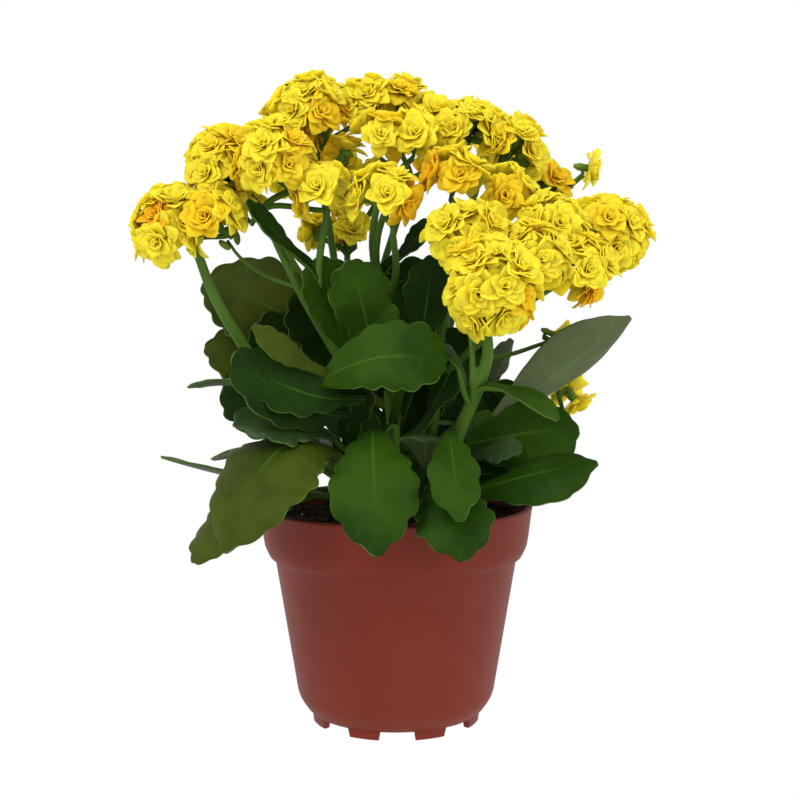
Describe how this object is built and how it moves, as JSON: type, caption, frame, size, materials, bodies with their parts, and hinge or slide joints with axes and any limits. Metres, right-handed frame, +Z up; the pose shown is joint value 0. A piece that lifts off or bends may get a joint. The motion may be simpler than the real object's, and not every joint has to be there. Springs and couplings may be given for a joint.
{
  "type": "potted kalanchoe",
  "caption": "Flowering kalanchoe with crenate fleshy leaves and domed heads of double yellow flowers, in a round tapered plastic nursery pot filled with potting soil.",
  "frame": {"origin": "centre of the flat pad under the pot, on the surface that it stands on", "axes": "+Z up along the pot's axis; -Y is the front, towards the viewer; +X is the viewer's right"},
  "size_m": [0.2133, 0.1686, 0.2798],
  "materials": {
    "pot_plastic": "satin moulded polypropylene, terracotta red",
    "potting_soil": "loose dark peat with pale grains",
    "stem_green": "smooth fleshy stem, satin",
    "leaf_green": "waxy fleshy leaf, satin, paler underneath",
    "petal_yellow": "soft matte petals, lemon yellow to golden"
  },
  "bodies": {
    "root": {"pot": "pot_plastic", "soil": "potting_soil", "stem_far_left": "stem_green", "stem_left": "stem_green", "stem_centre": "stem_green", "stem_right": "stem_green", "stem_back_right": "stem_green", "stem_back_left": "stem_green", "leaf_front": "leaf_green", "leaf_front_small": "leaf_green", "leaf_front_low": "leaf_green", "leaf_right_low": "leaf_green", "leaf_right": "leaf_green", "leaf_right_shiny": "leaf_green", "leaf_right_high": "leaf_green", "bract_right": "leaf_green", "leaf_left_arching": "leaf_green", "leaf_left_low": "leaf_green", "leaf_left_thin": "leaf_green", "leaf_left_flat": "leaf_green", "leaf_left_middle": "leaf_green", "leaf_centre_left": "leaf_green", "leaf_centre_right": "leaf_green", "leaf_top_middle": "leaf_green", "leaf_back_left_high": "leaf_green", "leaf_back_left": "leaf_green", "bract_left": "leaf_green", "bract_centre": "leaf_green", "leaf_top_right": "leaf_green", "leaf_inner": "leaf_green", "leaf_front_folded": "leaf_green", "leaf_right_behind": "leaf_green", "bract_right_inner": "leaf_green", "leaf_rear_left_low": "leaf_green", "leaf_rear_low": "leaf_green", "leaf_rear_right_low": "leaf_green", "leaf_rear_high": "leaf_green", "leaf_rear_right": "leaf_green", "leaf_rear_left": "leaf_green", "leaf_rear_folded": "leaf_green", "leaf_side_low": "leaf_green", "flowers_far_left": "petal_yellow", "flowers_left": "petal_yellow", "flowers_top_left": "petal_yellow", "flowers_top": "petal_yellow", "flowers_middle": "petal_yellow", "flowers_middle_low": "petal_yellow", "flowers_behind_left": "petal_yellow", "flowers_top_right": "petal_yellow", "flowers_right_middle": "petal_yellow", "flowers_right_front": "petal_yellow", "flowers_right": "petal_yellow", "flowers_far_right": "petal_yellow", "flowers_back_right": "petal_yellow", "flowers_right_low": "petal_yellow", "flowers_right_small": "petal_yellow", "flowers_back_left": "petal_yellow", "flowers_back": "petal_yellow", "flowers_back_far_right": "petal_yellow", "flowers_side_right": "petal_yellow"}
  },
  "joints": []
}
